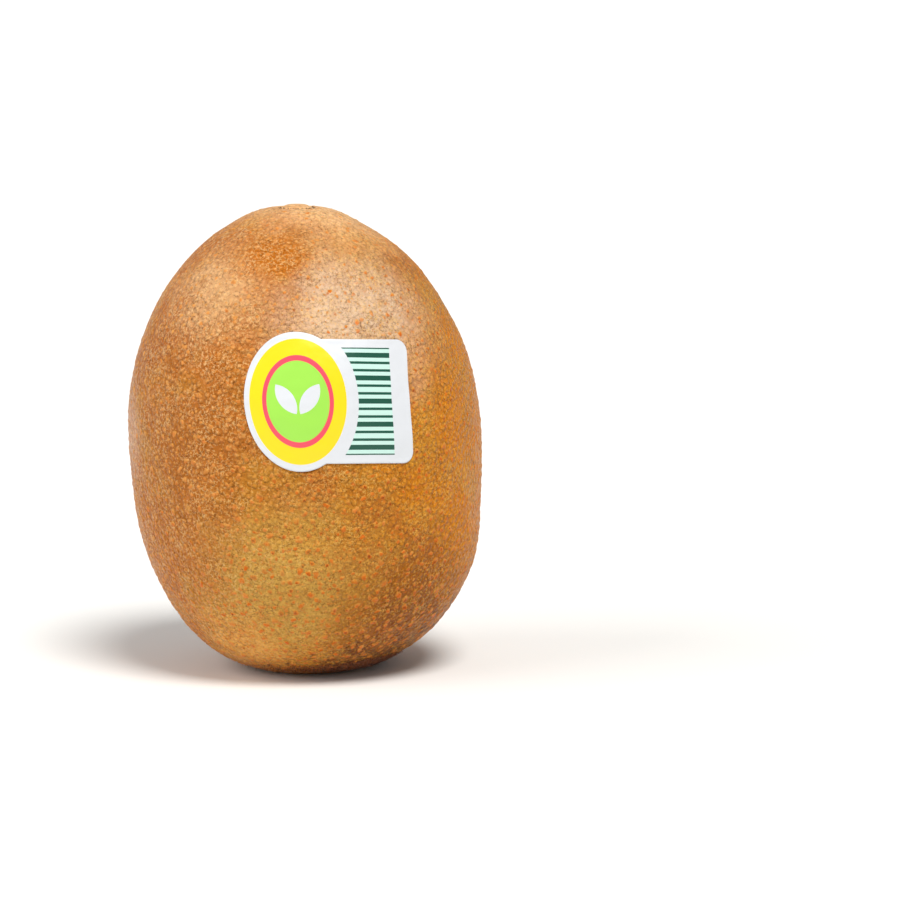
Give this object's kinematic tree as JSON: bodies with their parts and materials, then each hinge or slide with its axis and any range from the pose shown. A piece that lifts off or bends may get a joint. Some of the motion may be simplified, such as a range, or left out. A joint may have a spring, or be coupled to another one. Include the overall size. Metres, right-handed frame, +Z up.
{
  "type": "golden kiwi fruit",
  "caption": "Whole golden kiwi fruit standing on its stem end, with a plain film label on its side.",
  "frame": {"origin": "on the table, under the middle of the fruit, at the middle of the flat spot it stands on", "axes": "+Z up along the fruit from the stem end it stands on to the blossom end, +X to its right as seen from the label, -Y out of the side that carries the label"},
  "size_m": [0.0572, 0.0554, 0.0756],
  "materials": {
    "skin": "thin suede-like russet skin over golden flesh, with small raised corky dots",
    "label_film": "white printed film label, satin gloss"
  },
  "bodies": {
    "root": {"fruit": "skin", "label": "label_film"}
  },
  "joints": []
}
